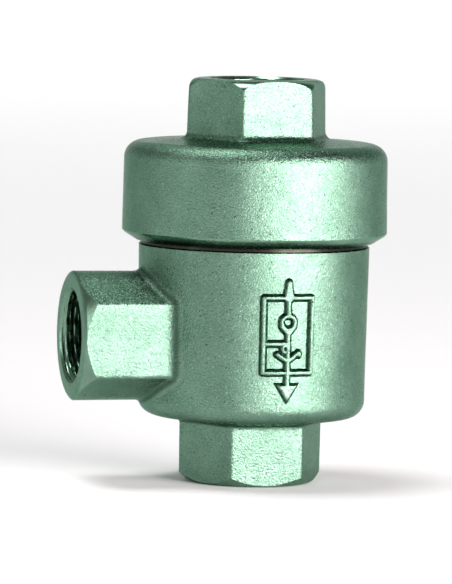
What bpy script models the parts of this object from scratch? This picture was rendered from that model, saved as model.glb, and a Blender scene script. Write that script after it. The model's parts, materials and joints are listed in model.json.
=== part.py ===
"""Quick exhaust valve with three G1/2 female ports, built as its separate pieces at real size.

Frame: metres, +Z up. The valve stands on the end face of its exhaust port, at z = 0. The origin is the
centre of the footprint's bounding box, so the valve's own axis is the vertical line at x = AXIS_X.
The inlet port is on top, the outlet port points to -X, and the raised flow diagram faces -Y.
Each piece is modelled about the valve's axis and parented to an empty that stands on that axis.
"""

import itertools
import math

import bmesh
import bpy
from mathutils import Matrix, Vector

MM = 0.001

# --- Driving dimensions -------------------------------------------------------------------------
# The G1/2 parallel pipe thread (ISO 228-1), and the spanner size of its three hexagons.
THREAD_MINOR_R = 18.631 / 2 * MM
MOUTH_R = 10.2 * MM  # countersink at each mouth
MOUTH_DEPTH = 0.9 * MM
THREAD_DEPTH = 12.6 * MM
WRENCH_SIZE = 27.0 * MM  # across the flats
CAP_WRENCH_SIZE = 26.5 * MM  # the same hexagon at the end of the cap, after the die's draft
PASSAGE_R = 8.5 * MM

# Heights on the valve's axis.
BODY_FLOOR_Z = 13.0 * MM  # underside of the round body, where the exhaust hexagon begins
BODY_CORNER_Z = 17.4 * MM  # where the body's wall turns into its rounded bottom corner
OUTLET_Z = 30.8 * MM  # axis of the outlet port
BODY_TOP_Z = 50.1 * MM  # upper edge of the forged skin
CAP_FOOT_Z = 50.9 * MM
CAP_WALL_Z = 52.8 * MM  # top of the chamfer that leads up to the cap's wall
CAP_SHOULDER_Z = 68.1 * MM  # where the cap's wall turns into its rounded shoulder
CAP_DOME_Z = 72.5 * MM  # top of the cap's dome, under the inlet hexagon
TOP_Z = 85.1 * MM

# Radii of the forgings, with the draft of the dies.
BODY_R_LOW = 24.0 * MM
BODY_R_HIGH = 24.4 * MM
BODY_CORNER_R = 3.5 * MM
CAP_R_FOOT = 28.0 * MM
CAP_R_HIGH = 27.8 * MM
CAP_SHOULDER_R = 3.6 * MM
OUTLET_REACH = 39.5 * MM  # from the valve's axis to the outlet's end face
OUTLET_HALF_HEIGHT = 13.6 * MM  # the outlet hexagon's upper and lower corners are trimmed to this

# Fits. Pieces that touch in the real valve stand GAP apart here.
GAP = 0.3 * MM
NECK_R = 23.9 * MM  # turned band that shows between the body and the cap
SPIGOT_R = 22.9 * MM  # carries the cap's thread
SPIGOT_TOP_Z = 62.0 * MM
CAP_BORE_R = 23.2 * MM
CHAMBER_R = 19.8 * MM
CHAMBER_FLOOR_Z = 18.5 * MM
NOZZLE_BORE_R = 8.0 * MM
EXHAUST_LIP_Z = 48.0 * MM
INLET_LIP_Z = 65.8 * MM
STROKE = 3.2 * MM  # travel of the shuttle between the two lips

# The cap is screwed down until it is tight, which leaves its hexagon a little off the body's.
CAP_TURN = math.radians(3.8)

AXIS_X = (OUTLET_REACH - CAP_R_FOOT) / 2
ROUND_STEPS = 48
SMALL_STEPS = 32
OVERCUT = 2.0 * MM  # how far a cutter runs past the face that it opens

# Colour, metallic value and roughness of each material.
MATERIALS = {
    "nickel_forging": ((0.42, 0.55, 0.48), 1.0, 0.42),
    "turned_brass": ((0.80, 0.62, 0.30), 1.0, 0.25),
    "stainless_steel": ((0.62, 0.64, 0.66), 1.0, 0.28),
    "nitrile_rubber": ((0.025, 0.025, 0.028), 0.0, 0.60),
    "acetal": ((0.86, 0.86, 0.82), 0.0, 0.42),
}


# --- Modelling helpers --------------------------------------------------------------------------
def clear_scene():
    for obj in list(bpy.data.objects):
        bpy.data.objects.remove(obj)


def material(name):
    made = bpy.data.materials.get(name)
    if made is None:
        color, metallic, roughness = MATERIALS[name]
        made = bpy.data.materials.new(name)
        made.use_nodes = True
        shader = made.node_tree.nodes["Principled BSDF"]
        shader.inputs["Base Color"].default_value = (*color, 1)
        shader.inputs["Metallic"].default_value = metallic
        shader.inputs["Roughness"].default_value = roughness
    return made


def add_object(name, mesh, material_name, parent):
    """Turns a bmesh into a named object, with its normals outward and round faces shaded smooth."""
    bmesh.ops.recalc_face_normals(mesh, faces=mesh.faces)
    data = bpy.data.meshes.new(name)
    mesh.to_mesh(data)
    mesh.free()
    data.shade_smooth()
    data.set_sharp_from_angle(angle=math.radians(30))
    data.materials.append(material(material_name))
    obj = bpy.data.objects.new(name, data)
    obj.parent = parent
    bpy.context.scene.collection.objects.link(obj)
    return obj


def add_helper(name, mesh, parent):
    """A shape that only joins, trims or cuts another one, so it isn't a piece of the valve."""
    helper = add_object(name, mesh, "nickel_forging", parent)
    helper.hide_render = True
    helper.display_type = "WIRE"
    return helper


def add_boolean(target, operation, helper, self_crossing=False):
    modifier = target.modifiers.new(f"{operation.lower()} {helper.name}", "BOOLEAN")
    modifier.operation = operation
    modifier.object = helper
    modifier.solver = "EXACT"
    modifier.use_self = self_crossing


def arc(center, radius, start, end, steps=6):
    """Points along an arc in the (radius, height) plane, from one angle to another in degrees."""
    angles = (math.radians(start + (end - start) * i / steps) for i in range(steps + 1))
    return [(center[0] + radius * math.cos(a), center[1] + radius * math.sin(a)) for a in angles]


def turned(outline, steps=ROUND_STEPS):
    """A solid of revolution about Z from a closed outline of (radius, height) points."""
    mesh = bmesh.new()
    points = [mesh.verts.new((radius, 0, height)) for radius, height in outline]
    edges = []
    for start, end in zip(points, points[1:] + points[:1]):
        if max(start.co.x, end.co.x) > 0:
            edges.append(mesh.edges.new((start, end)))
    bmesh.ops.spin(mesh, geom=points + edges, axis=(0, 0, 1), cent=(0, 0, 0),
                   angle=math.tau, steps=steps)
    bmesh.ops.remove_doubles(mesh, verts=mesh.verts, dist=0.001 * MM)
    return mesh


def washer_outline(inner, outer, low, high):
    return [(inner, low), (outer, low), (outer, high), (inner, high)]


def level(outline, height):
    return [(x, y, height) for x, y in outline]


def prism(rings, placing=Matrix()):
    """A closed solid through rings of (x, y, z) points that all have as many points, from the lowest up."""
    mesh = bmesh.new()
    loops = [[mesh.verts.new(placing @ Vector(point)) for point in ring] for ring in rings]
    for low, high in zip(loops, loops[1:]):
        for i in range(len(low)):
            j = (i + 1) % len(low)
            mesh.faces.new((low[i], low[j], high[j], high[i]))
    mesh.faces.new(loops[0])
    mesh.faces.new(loops[-1])
    return mesh


def hexagon(across_flats):
    """Corners of a hexagon with two corners on the x axis."""
    corner_r = across_flats / math.sqrt(3)
    angles = (math.radians(60 * i) for i in range(6))
    return [(corner_r * math.cos(a), corner_r * math.sin(a)) for a in angles]


def fillet_steps(radius, steps=3):
    """How far a fillet spreads out from a wall, and how far it has risen from the wall's foot."""
    for i in range(steps + 1):
        angle = math.radians(90 * i / steps)
        yield radius * (1 - math.sin(angle)), radius * (1 - math.cos(angle))


def flared_rings(root, end, root_size, end_size, fillet):
    """Hexagons from the root, where a fillet widens them, to the end, listed from the lowest up."""
    upward = math.copysign(1, end - root)
    rings = [level(hexagon(root_size + 2 * spread), root + upward * rise)
             for spread, rise in fillet_steps(fillet)]
    rings.append(level(hexagon(end_size), end))
    return rings if upward > 0 else rings[::-1]


def outlet_outline(spread):
    """The outlet's hexagon, with its upper and lower corners trimmed and each side cut in four."""
    size = WRENCH_SIZE + 2 * spread
    trim = OUTLET_HALF_HEIGHT + spread
    half_width = (size / math.sqrt(3) - trim) * math.sqrt(3)
    corners = hexagon(size)
    corners[3:4] = [(-trim, half_width), (-trim, -half_width)]
    corners[0:1] = [(trim, -half_width), (trim, half_width)]
    parts = 4
    return [(start[0] + (end[0] - start[0]) * i / parts, start[1] + (end[1] - start[1]) * i / parts)
            for start, end in zip(corners, corners[1:] + corners[:1]) for i in range(parts)]


def outlet_rings(fillet):
    """The outlet's hexagon from inside the body to past its end face, with a fillet on the skin."""
    rings = [level(outlet_outline(fillet), CHAMBER_R - 3 * MM)]
    for spread, rise in fillet_steps(fillet):
        ring = []
        for x, y in outlet_outline(spread):
            skin = skin_radius(OUTLET_Z + x) - 0.1 * MM
            ring.append((x, y, math.sqrt(skin ** 2 - y ** 2) + rise))
        rings.append(ring)
    rings.append(level(outlet_outline(0), OUTLET_REACH + OVERCUT))
    return rings


def hexagonal_port(name, rings, envelope, parent, placing=Matrix()):
    """A hexagon whose corners are turned off by an envelope, as a helper to join to a forging."""
    trimmer = turned(envelope)
    trimmer.transform(placing)
    port = add_helper(name, prism(rings, placing), parent)
    add_boolean(port, "INTERSECT", add_helper(f"{name}_envelope", trimmer, parent))
    return port


# --- Raised flow diagram on the body ------------------------------------------------------------
DIAGRAM_TURN = math.radians(2.3)  # the diagram sits this far off the middle of the body's front
DIAGRAM_Z = 32.9 * MM  # middle of the diagram's frame
DIAGRAM_HALF_WIDTH = 5.1 * MM
DIAGRAM_HALF_HEIGHT = 7.8 * MM
LINE_WIDTH = 0.85 * MM
LINE_HEIGHT = 1.0 * MM  # how far the lines stand out of the skin
LINE_ROOT = 0.8 * MM  # how far they reach into it
BRANCH_Y = -1.75 * MM
SUPPLY_TOP = 11.4 * MM
ARROW_TOP = -10.4 * MM
ARROW_TIP = -13.3 * MM
ARROW_HALF_WIDTH = 1.95 * MM
# Each check valve: its ball's centre, outer radius and hole, its seat's point, and the seat's two arms.
CHECKS = (
    ((0, 2.7 * MM), 1.75 * MM, 0.85 * MM,
     (0, 0.4 * MM), ((-1.3 * MM, 1.9 * MM), (1.3 * MM, 1.9 * MM))),
    ((-0.5 * MM, -2.8 * MM), 1.0 * MM, 0.4 * MM,
     (0, -5.6 * MM), ((-2.1 * MM, -4.0 * MM), (2.3 * MM, -3.6 * MM))),
)


def skin_radius(height):
    """Radius of the body's skin at a height, from its rounded bottom corner up."""
    if height < BODY_CORNER_Z:
        return BODY_R_LOW - BODY_CORNER_R + math.sqrt(BODY_CORNER_R ** 2 - (BODY_CORNER_Z - height) ** 2)
    share = (height - BODY_CORNER_Z) / (BODY_TOP_Z - BODY_CORNER_Z)
    return BODY_R_LOW + (BODY_R_HIGH - BODY_R_LOW) * share


def on_skin(point, proud):
    """Wraps a point of the flat diagram round the body, proud of its skin."""
    height = DIAGRAM_Z + point.y
    radius = skin_radius(height)
    angle = point.x / radius + DIAGRAM_TURN - math.pi / 2
    return Vector(((radius + proud) * math.cos(angle), (radius + proud) * math.sin(angle), height))


def add_raised_shape(mesh, outline, proud):
    """Adds the rims of one raised shape, and the walls between them, from its anticlockwise outline."""
    roots = [mesh.verts.new(on_skin(p, -LINE_ROOT)) for p in outline]
    tops = [mesh.verts.new(on_skin(p, proud)) for p in outline]
    for i in range(len(outline)):
        j = (i + 1) % len(outline)
        mesh.faces.new((roots[i], roots[j], tops[j], tops[i]))
    return roots, tops


def add_line(mesh, start, end, proud):
    """Adds a straight line of the diagram, in short steps so that it follows the round skin."""
    along = end - start
    side = Vector((-along.y, along.x)).normalized() * LINE_WIDTH / 2
    steps = max(1, round(abs(along.x) / (1.8 * MM)))
    stops = [start + along * i / steps for i in range(steps + 1)]
    outline = [p - side for p in stops] + [p + side for p in reversed(stops)]
    roots, tops = add_raised_shape(mesh, outline, proud)
    last = 2 * steps + 1
    for i in range(steps):
        mesh.faces.new((tops[i], tops[i + 1], tops[last - i - 1], tops[last - i]))
        mesh.faces.new((roots[i + 1], roots[i], roots[last - i], roots[last - i - 1]))


def add_check_ball(mesh, center, ball_r, hole_r, proud):
    """Adds the ring that stands for a check valve's ball."""
    steps = 14
    angles = [math.tau * i / steps for i in range(steps)]
    loops = []
    for radius, level in ((hole_r, -LINE_ROOT), (ball_r, -LINE_ROOT), (ball_r, proud), (hole_r, proud)):
        points = (center + radius * Vector((math.cos(a), math.sin(a))) for a in angles)
        loops.append([mesh.verts.new(on_skin(p, level)) for p in points])
    for loop, after in zip(loops, loops[1:] + loops[:1]):
        for i in range(steps):
            j = (i + 1) % steps
            mesh.faces.new((loop[i], loop[j], after[j], after[i]))


def flow_diagram(parent):
    """Two ball checks in a frame: the inlet above, the outlet's branch to the side, exhaust below."""
    mesh = bmesh.new()
    # Each shape is a hair lower than the one before it, so that crossing shapes share no top face.
    levels = (LINE_HEIGHT - i * 0.012 * MM for i in itertools.count())
    right = Vector((DIAGRAM_HALF_WIDTH, 0))
    top = Vector((0, DIAGRAM_HALF_HEIGHT))
    overlap = Vector((LINE_WIDTH / 2, 0))
    for side in (-1, 1):
        add_line(mesh, side * top - right - overlap, side * top + right + overlap, next(levels))
        add_line(mesh, side * right - top, side * right + top, next(levels))
    stem_end = Vector(CHECKS[0][0]) + Vector((0, CHECKS[0][1] - LINE_WIDTH / 2))
    add_line(mesh, stem_end, Vector((0, SUPPLY_TOP - 0.4 * MM)), next(levels))
    add_line(mesh, Vector((0, ARROW_TOP - 0.4 * MM)), Vector((0, 0.6 * MM)), next(levels))
    branch = Vector((0.2 * MM, BRANCH_Y))
    add_line(mesh, branch - right, branch, next(levels))
    for ball, ball_r, hole_r, seat, arms in CHECKS:
        for arm in arms:
            along = Vector(arm) - Vector(seat)
            add_line(mesh, Vector(seat) - along * 0.15, Vector(arm), next(levels))
        add_check_ball(mesh, Vector(ball), ball_r, hole_r, next(levels))
    supply = [(-0.95 * MM, DIAGRAM_HALF_HEIGHT), (0.95 * MM, DIAGRAM_HALF_HEIGHT),
              (0.5 * MM, SUPPLY_TOP), (-0.5 * MM, SUPPLY_TOP)]
    arrow = [(-ARROW_HALF_WIDTH, ARROW_TOP), (0, ARROW_TIP), (ARROW_HALF_WIDTH, ARROW_TOP)]
    for outline in (supply, arrow):
        roots, tops = add_raised_shape(mesh, [Vector(point) for point in outline], next(levels))
        mesh.faces.new(tops)
        mesh.faces.new(reversed(roots))
    return add_helper("flow_diagram", mesh, parent)


# --- Fixed pieces -------------------------------------------------------------------------------
def make_body(axis):
    """The forged body: exhaust hexagon below, outlet hexagon at the side, cap spigot above."""
    corner = (BODY_R_LOW - BODY_CORNER_R, BODY_CORNER_Z)
    groove_low, groove_high, groove_r = 58.2 * MM, 60.6 * MM, 21.0 * MM
    lead = 0.4 * MM
    outline = [
        (0, BODY_FLOOR_Z),
        (15.0 * MM, BODY_FLOOR_Z),
        *arc(corner, BODY_CORNER_R, -78, 0),
        (BODY_R_HIGH, BODY_TOP_Z - lead),
        (BODY_R_HIGH - lead, BODY_TOP_Z),
        (NECK_R, BODY_TOP_Z),
        (NECK_R, CAP_FOOT_Z - GAP),
        (SPIGOT_R, CAP_FOOT_Z - GAP),
        (SPIGOT_R, groove_low),
        (groove_r, groove_low),
        (groove_r, groove_high),
        (SPIGOT_R, groove_high),
        (SPIGOT_R, SPIGOT_TOP_Z - lead),
        (SPIGOT_R - lead, SPIGOT_TOP_Z),
        (0, SPIGOT_TOP_Z),
    ]
    body = add_object("body", turned(outline), "nickel_forging", axis)

    face_r = 13.1 * MM
    cone_r = 17.0 * MM
    slope = math.tan(math.radians(38))
    exhaust_envelope = [
        (0, 0),
        (face_r, 0),
        (cone_r, (cone_r - face_r) * slope),
        (cone_r, CHAMBER_FLOOR_Z),
        (0, CHAMBER_FLOOR_Z),
    ]
    exhaust = hexagonal_port(
        "exhaust_hexagon",
        flared_rings(BODY_FLOOR_Z + 0.5 * MM, -OVERCUT, WRENCH_SIZE, WRENCH_SIZE, 1.0 * MM),
        exhaust_envelope, axis)
    add_boolean(body, "UNION", exhaust)

    outlet_axis = Matrix.Translation((0, 0, OUTLET_Z)) @ Matrix.Rotation(-math.pi / 2, 4, "Y")
    face_r = 13.0 * MM
    wide_r = 24.0 * MM
    outlet_envelope = [
        (0, 0),
        (wide_r, 0),
        (wide_r, OUTLET_REACH - (wide_r - face_r)),
        (face_r, OUTLET_REACH),
        (0, OUTLET_REACH),
    ]
    outlet = hexagonal_port("outlet_hexagon", outlet_rings(1.5 * MM), outlet_envelope, axis, outlet_axis)
    add_boolean(body, "UNION", outlet)
    add_boolean(body, "UNION", flow_diagram(axis), self_crossing=True)

    seat_thread_r, seal_pocket_r, seal_pocket_z = 10.5 * MM, 12.6 * MM, 16.7 * MM
    floor_fillet = 1.5 * MM
    chamber = [
        (0, -OVERCUT),
        (MOUTH_R, -OVERCUT),
        (MOUTH_R, 0),
        (THREAD_MINOR_R, MOUTH_DEPTH),
        (THREAD_MINOR_R, THREAD_DEPTH),
        (seat_thread_r, THREAD_DEPTH),
        (seat_thread_r, seal_pocket_z),
        (seal_pocket_r, seal_pocket_z),
        (seal_pocket_r, CHAMBER_FLOOR_Z),
        *arc((CHAMBER_R - floor_fillet, CHAMBER_FLOOR_Z + floor_fillet), floor_fillet, -90, 0, 3),
        (CHAMBER_R, SPIGOT_TOP_Z + OVERCUT),
        (0, SPIGOT_TOP_Z + OVERCUT),
    ]
    add_boolean(body, "DIFFERENCE", add_helper("chamber_cutter", turned(chamber), axis))

    thread_end = OUTLET_REACH - THREAD_DEPTH
    bore = [
        (0, 14.0 * MM),
        (PASSAGE_R, 14.0 * MM),
        (PASSAGE_R, thread_end),
        (THREAD_MINOR_R, thread_end),
        (THREAD_MINOR_R, OUTLET_REACH - MOUTH_DEPTH),
        (MOUTH_R, OUTLET_REACH),
        (MOUTH_R, OUTLET_REACH + OVERCUT),
        (0, OUTLET_REACH + OVERCUT),
    ]
    cutter = turned(bore, SMALL_STEPS)
    cutter.transform(outlet_axis)
    add_boolean(body, "DIFFERENCE", add_helper("outlet_cutter", cutter, axis))
    return body


def make_cap(axis):
    """The forged cap: it screws over the body's spigot and carries the inlet port and its seat."""
    shoulder = (CAP_R_HIGH - CAP_SHOULDER_R, CAP_SHOULDER_Z)
    outline = [
        (0, CAP_FOOT_Z),
        (25.2 * MM, CAP_FOOT_Z),
        (CAP_R_FOOT - 0.4 * MM, CAP_WALL_Z - 0.5 * MM),
        (CAP_R_FOOT, CAP_WALL_Z),
        *arc(shoulder, CAP_SHOULDER_R, 0, 84, 7),
        (14.0 * MM, CAP_DOME_Z),
        (0, CAP_DOME_Z),
    ]
    cap = add_object("cap", turned(outline), "nickel_forging", axis)

    corner_round = 3.4 * MM
    corner_r = 15.5 * MM
    envelope = [
        (0, CAP_SHOULDER_Z),
        (corner_r + 6 * MM, CAP_SHOULDER_Z),
        (corner_r + 6 * MM, TOP_Z - 9 * MM),
        (corner_r + 0.1 * MM, TOP_Z - 8 * MM),
        *arc((corner_r - corner_round, TOP_Z - corner_round), corner_round, 0, 90),
        (0, TOP_Z),
    ]
    inlet = hexagonal_port(
        "inlet_hexagon",
        flared_rings(CAP_DOME_Z - 0.3 * MM, TOP_Z + OVERCUT, WRENCH_SIZE, CAP_WRENCH_SIZE, 1.6 * MM),
        envelope, axis, Matrix.Rotation(CAP_TURN, 4, "Z"))
    add_boolean(cap, "UNION", inlet)

    ceiling_z, ceiling_r, bore_top_z = 68.0 * MM, 21.5 * MM, 64.0 * MM
    lip_r, lip_root_r = 9.9 * MM, 11.5 * MM
    thread_end = TOP_Z - THREAD_DEPTH
    cavity = [
        (0, CAP_FOOT_Z - OVERCUT),
        (CAP_BORE_R, CAP_FOOT_Z - OVERCUT),
        (CAP_BORE_R, bore_top_z),
        (ceiling_r, ceiling_z),
        (lip_root_r, ceiling_z),
        (lip_r, INLET_LIP_Z),
        (PASSAGE_R, INLET_LIP_Z),
        (PASSAGE_R, thread_end),
        (THREAD_MINOR_R, thread_end),
        (THREAD_MINOR_R, TOP_Z - MOUTH_DEPTH),
        (MOUTH_R, TOP_Z),
        (MOUTH_R, TOP_Z + OVERCUT),
        (0, TOP_Z + OVERCUT),
    ]
    add_boolean(cap, "DIFFERENCE", add_helper("cap_cutter", turned(cavity), axis))
    return cap


def make_o_ring(name, ring_r, height, section_r, axis):
    outline = arc((ring_r, height), section_r, 0, 360 - 30, 11)
    return add_object(name, turned(outline), "nitrile_rubber", axis)


def make_exhaust_seat(axis):
    """The turned standpipe that screws into the body's floor. Its upper lip is the exhaust seat."""
    outline = [
        (NOZZLE_BORE_R, THREAD_DEPTH + GAP),
        (10.2 * MM, THREAD_DEPTH + GAP),
        (10.2 * MM, CHAMBER_FLOOR_Z + GAP),
        (13.5 * MM, CHAMBER_FLOOR_Z + GAP),
        (13.5 * MM, 21.0 * MM),
        (11.0 * MM, 22.0 * MM),
        (11.0 * MM, 45.0 * MM),
        (9.4 * MM, EXHAUST_LIP_Z),
        (8.5 * MM, EXHAUST_LIP_Z),
        (NOZZLE_BORE_R, EXHAUST_LIP_Z - 0.8 * MM),
    ]
    return add_object("exhaust_seat", turned(outline, SMALL_STEPS), "turned_brass", axis)


# --- Shuttle: the pieces that travel between the two seats ----------------------------------------
# Heights of the shuttle's pieces above the exhaust lip, which is the origin of its empty.
SEAL_LOW = GAP
CORE_STEP = 3.1 * MM  # underside of the core's disc, above the exhaust seal
LIP_SHELF = 8.0 * MM  # shelf of the core that carries the lip seal
CORE_TOP = 10.3 * MM
RETAINER_LOW = CORE_TOP + GAP
RETAINER_HIGH = RETAINER_LOW + 1.2 * MM
INLET_SEAL_LOW = RETAINER_HIGH + GAP
INLET_SEAL_HIGH = INLET_LIP_Z - EXHAUST_LIP_Z - STROKE - GAP
WASHER_LOW = INLET_SEAL_HIGH + GAP
WASHER_HIGH = WASHER_LOW + 1.0 * MM
LOCK_LOW = WASHER_HIGH + GAP
LOCK_HIGH = LOCK_LOW + 0.8 * MM
HEAD_LOW = LOCK_HIGH + GAP
HEAD_HIGH = HEAD_LOW + 2.6 * MM
SCREW_R = 1.9 * MM
CLAMPED_HOLE_R = 2.3 * MM


def make_shuttle_core(shuttle):
    """The moulded core: a disc with a boss, and four wings that run in the exhaust seat's bore."""
    boss_r, boss_low = 6.3 * MM, -2.5 * MM
    insert_pocket_r = 4.3 * MM
    outline = [
        (0, boss_low),
        (boss_r, boss_low),
        (boss_r, CORE_STEP),
        (11.9 * MM, CORE_STEP),
        (11.9 * MM, 1.2 * MM),
        (13.0 * MM, 1.2 * MM),
        (15.5 * MM, 4.0 * MM),
        (15.5 * MM, LIP_SHELF),
        (12.2 * MM, LIP_SHELF),
        (12.2 * MM, CORE_TOP),
        (insert_pocket_r, CORE_TOP),
        (insert_pocket_r, 1.0 * MM),
        (0, 1.0 * MM),
    ]
    core = add_object("shuttle_core", turned(outline), "acetal", shuttle)
    wing_r = NOZZLE_BORE_R - GAP
    half_thickness = 1.0 * MM
    wing_low = -12.0 * MM
    tip_chamfer = 1.5 * MM
    for i in range(2):
        blade = [(wing_r - tip_chamfer, wing_low), (wing_r, wing_low + tip_chamfer),
                 (wing_r, -0.6 * MM - GAP), (boss_r - 1.0 * MM, boss_low + 1.0 * MM)]
        profile = blade + [(-x, z) for x, z in reversed(blade)]
        upright = Matrix.Rotation(math.radians(45 + 90 * i), 4, "Z") @ Matrix.Rotation(math.pi / 2, 4, "X")
        wings = prism([level(profile, -half_thickness), level(profile, half_thickness)], upright)
        add_boolean(core, "UNION", add_helper(f"wing_pair_{i + 1}", wings, shuttle))
    return core


def make_threaded_insert(shuttle):
    outline = washer_outline(2.2 * MM, 4.0 * MM, 1.0 * MM + GAP, CORE_TOP - GAP)
    return add_object("threaded_insert", turned(outline, SMALL_STEPS), "turned_brass", shuttle)


def make_exhaust_seal(shuttle):
    outline = washer_outline(6.6 * MM, 11.6 * MM, SEAL_LOW, CORE_STEP - GAP)
    return add_object("exhaust_seal", turned(outline), "nitrile_rubber", shuttle)


def make_lip_seal(shuttle):
    """A cup seal. Air from above folds its skirt inward, and air from below presses it to the wall."""
    skirt_r = CHAMBER_R - GAP
    base_low = LIP_SHELF + GAP
    outline = [
        (12.5 * MM, base_low),
        (15.9 * MM, base_low),
        (18.0 * MM, 4.3 * MM),
        (18.7 * MM, 3.4 * MM),
        (skirt_r, 3.9 * MM),
        (skirt_r - 0.2 * MM, 5.3 * MM),
        (17.4 * MM, 9.9 * MM),
        (16.9 * MM, CORE_TOP),
        (12.5 * MM, CORE_TOP),
    ]
    return add_object("lip_seal", turned(outline), "nitrile_rubber", shuttle)


def make_lip_retainer(shuttle):
    outline = washer_outline(3.2 * MM, 16.4 * MM, RETAINER_LOW, RETAINER_HIGH)
    return add_object("lip_retainer", turned(outline, SMALL_STEPS), "stainless_steel", shuttle)


def make_inlet_seal(shuttle):
    outline = washer_outline(3.2 * MM, 11.8 * MM, INLET_SEAL_LOW, INLET_SEAL_HIGH)
    return add_object("inlet_seal", turned(outline), "nitrile_rubber", shuttle)


def make_clamp_washer(shuttle):
    outline = washer_outline(CLAMPED_HOLE_R, 6.0 * MM, WASHER_LOW, WASHER_HIGH)
    return add_object("clamp_washer", turned(outline, SMALL_STEPS), "stainless_steel", shuttle)


def make_spring_washer(shuttle):
    outline = washer_outline(CLAMPED_HOLE_R, 3.9 * MM, LOCK_LOW, LOCK_HIGH)
    washer = add_object("spring_washer", turned(outline, SMALL_STEPS), "stainless_steel", shuttle)
    half_slit, slant = 0.25 * MM, 0.3 * MM
    slit = [(x, side * 4.5 * MM) for x, side in ((-half_slit, 0.2), (half_slit, 0.2),
                                                 (half_slit, 1), (-half_slit, 1))]
    leaning = [(x + slant, y) for x, y in slit]
    cutter = prism([level(slit, LOCK_LOW - GAP / 2), level(leaning, LOCK_HIGH + GAP / 2)])
    add_boolean(washer, "DIFFERENCE", add_helper("spring_washer_slit", cutter, shuttle))
    return washer


def make_clamp_screw(shuttle):
    """A socket head screw that clamps the shuttle's stack and ends in the threaded insert."""
    head_r = 3.8 * MM
    edge = 0.4 * MM
    outline = [
        (0, 2.0 * MM),
        (SCREW_R - edge, 2.0 * MM),
        (SCREW_R, 2.0 * MM + edge),
        (SCREW_R, HEAD_LOW),
        (head_r, HEAD_LOW),
        (head_r, HEAD_HIGH - edge),
        (head_r - edge, HEAD_HIGH),
        (0, HEAD_HIGH),
    ]
    screw = add_object("clamp_screw", turned(outline, SMALL_STEPS), "stainless_steel", shuttle)
    socket = hexagon(3.0 * MM)
    cutter = prism([level(socket, HEAD_HIGH - 1.7 * MM), level(socket, HEAD_HIGH + OVERCUT)])
    add_boolean(screw, "DIFFERENCE", add_helper("screw_socket", cutter, shuttle))
    return screw


def add_empty(name, location, parent=None):
    empty = bpy.data.objects.new(name, None)
    empty.location = location
    empty.parent = parent
    bpy.context.scene.collection.objects.link(empty)
    return empty


def main():
    clear_scene()
    axis = add_empty("valve_axis", (AXIS_X, 0, 0))
    make_body(axis)
    make_cap(axis)
    make_o_ring("cap_o_ring", 22.1 * MM, 59.4 * MM, 0.8 * MM, axis)
    make_exhaust_seat(axis)
    make_o_ring("exhaust_seat_o_ring", 11.45 * MM, 17.75 * MM, 0.8 * MM, axis)

    shuttle = add_empty("shuttle_axis", (0, 0, EXHAUST_LIP_Z), axis)
    make_shuttle_core(shuttle)
    make_threaded_insert(shuttle)
    make_exhaust_seal(shuttle)
    make_lip_seal(shuttle)
    make_lip_retainer(shuttle)
    make_inlet_seal(shuttle)
    make_clamp_washer(shuttle)
    make_spring_washer(shuttle)
    make_clamp_screw(shuttle)


main()
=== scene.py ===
"""Quick exhaust valve in nickel-plated forged brass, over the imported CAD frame.

The two forgings are solids made from distance fields, so that their fillets are round and their flats
are flat. Turned tools then cut the machined faces, chamfers, bores and seats out of them, and helical
liners carry the pipe threads. Everything is in metres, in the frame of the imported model.
"""

import json
import math

import bmesh
import bpy
import numpy as np
from mathutils import Matrix, Vector


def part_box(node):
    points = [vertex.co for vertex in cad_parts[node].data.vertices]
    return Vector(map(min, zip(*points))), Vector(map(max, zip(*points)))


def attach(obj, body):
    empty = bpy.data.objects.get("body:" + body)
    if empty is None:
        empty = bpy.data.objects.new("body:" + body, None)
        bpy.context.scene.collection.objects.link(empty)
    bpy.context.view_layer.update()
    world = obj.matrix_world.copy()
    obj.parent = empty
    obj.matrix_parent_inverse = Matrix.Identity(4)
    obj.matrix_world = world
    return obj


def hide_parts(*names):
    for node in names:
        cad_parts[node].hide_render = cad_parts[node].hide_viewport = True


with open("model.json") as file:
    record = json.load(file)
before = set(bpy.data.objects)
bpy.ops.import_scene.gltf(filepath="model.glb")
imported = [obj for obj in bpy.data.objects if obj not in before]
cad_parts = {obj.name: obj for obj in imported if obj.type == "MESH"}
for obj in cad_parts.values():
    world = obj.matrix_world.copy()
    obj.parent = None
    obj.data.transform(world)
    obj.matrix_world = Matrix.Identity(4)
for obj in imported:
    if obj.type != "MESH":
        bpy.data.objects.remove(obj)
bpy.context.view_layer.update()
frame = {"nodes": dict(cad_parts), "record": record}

MM = 0.001

# --- Sizes read from the frame ------------------------------------------------------------------
BODY_LOW, BODY_HIGH = (Vector(corner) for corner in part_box("body"))
CAP_LOW, CAP_HIGH = (Vector(corner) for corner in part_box("cap"))
MOUNTS = {mount["name"]: Vector(mount["pos_m"]) for mount in frame["record"]["mounts"]}
AXIS_X = (CAP_LOW.x + CAP_HIGH.x) / 2
CAP_R = (CAP_HIGH.x - CAP_LOW.x) / 2
CAP_FOOT_Z = CAP_LOW.z
TOP_Z = CAP_HIGH.z
SPIGOT_TOP_Z = BODY_HIGH.z
OUTLET_REACH = AXIS_X - BODY_LOW.x
OUTLET_Z = MOUNTS["outlet_face"].z - 11.6 * MM  # the mount lies on the ring round the mouth

# --- Sizes of the visible shape -----------------------------------------------------------------
HEX_FLAT = 13.5 * MM  # from a hexagon's middle to its flats
CAP_HEX_FLAT = 13.25 * MM  # the same at the end of the cap's hexagon
HEX_EDGE_R = 0.45 * MM
CAP_TURN = math.radians(3.8)
OUTLET_HALF_HEIGHT = 13.6 * MM  # the outlet hexagon's upper and lower corners are trimmed to this
OUTLET_EDGE_R = 1.6 * MM

# Fillets where each hexagon meets its barrel, and how far the forgings' faces wander.
EXHAUST_FILLET = 0.9 * MM
OUTLET_FILLET = 1.7 * MM
INLET_FILLET = 1.6 * MM
UNEVENNESS = 0.05 * MM

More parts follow.
